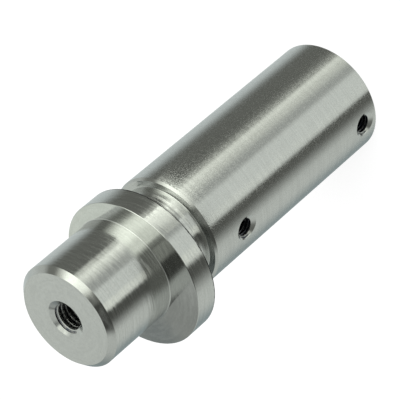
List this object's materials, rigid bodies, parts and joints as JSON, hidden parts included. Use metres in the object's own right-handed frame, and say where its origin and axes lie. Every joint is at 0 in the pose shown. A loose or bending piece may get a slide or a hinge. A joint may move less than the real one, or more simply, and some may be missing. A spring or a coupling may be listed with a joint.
{
  "type": "steering link pin",
  "caption": "Turned steel pivot pin with a plain body, relief neck, off-centre collar and chamfered nose, and tapped holes in the nose and body.",
  "frame": {"origin": "on the body's axis, at the flat face of the far end, on which the pin stands", "axes": "+Z along the main axis, from the far end to the nose; -Y is the side of the two cross holes and of the collar's wide side"},
  "size_m": [0.028, 0.028, 0.0735],
  "materials": {
    "steel": "fine turned steel, uncoated"
  },
  "bodies": {
    "root": {"link_pin": "steel"}
  },
  "joints": []
}
